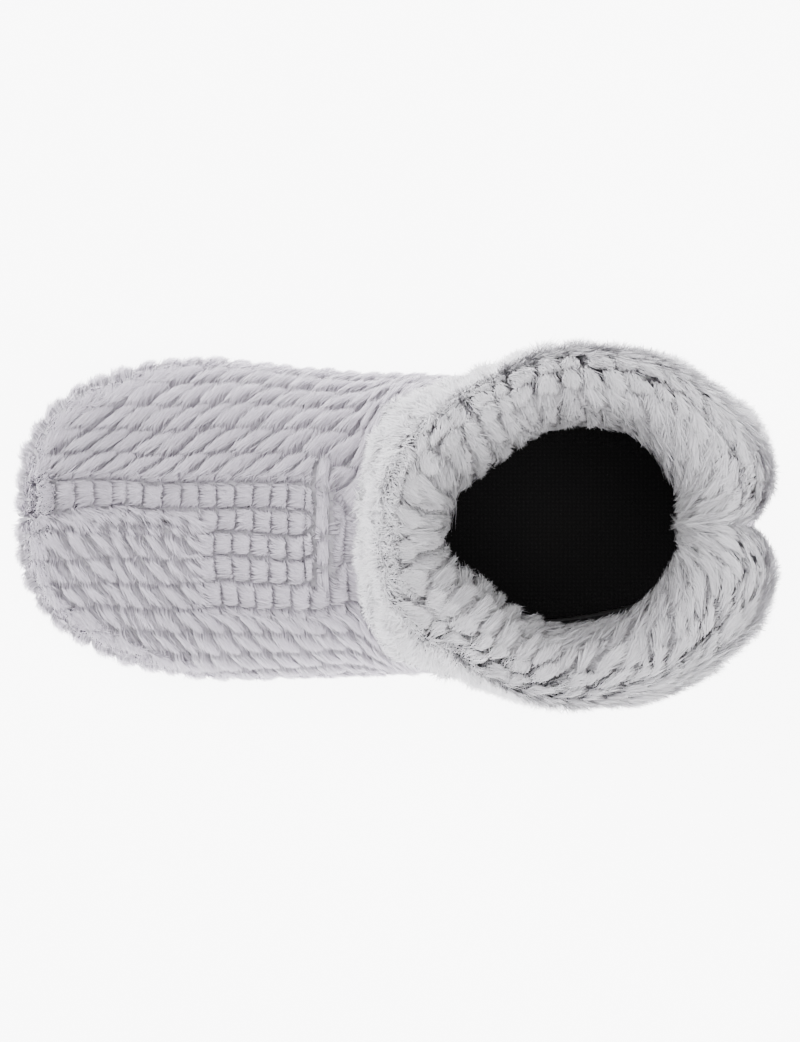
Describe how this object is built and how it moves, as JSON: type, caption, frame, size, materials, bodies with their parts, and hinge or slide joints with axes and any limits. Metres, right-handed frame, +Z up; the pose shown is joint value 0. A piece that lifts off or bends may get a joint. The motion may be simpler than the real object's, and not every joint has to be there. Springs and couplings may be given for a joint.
{
  "type": "bootie slipper",
  "caption": "Low furry house bootie for the left foot: ribbed faux fur upper, turned-down fur cuff split at the heel, fur side band and a thin flexible outsole.",
  "frame": {"origin": "on the floor, under the middle of the shoe's box", "axes": "+Z up, the toe points along -X and the heel along +X, and the inner (medial) side of the left foot faces +Y"},
  "size_m": [0.2638, 0.1276, 0.1195],
  "materials": {
    "outsole": "matt moulded",
    "insole": "soft black knit",
    "upper": "deep ribbed faux fur",
    "side_band": "deep faux fur",
    "cuff": "long fluffy faux fur"
  },
  "bodies": {
    "root": {"outsole": "outsole", "insole": "insole", "upper": "upper", "side_band": "side_band", "cuff": "cuff"}
  },
  "joints": []
}
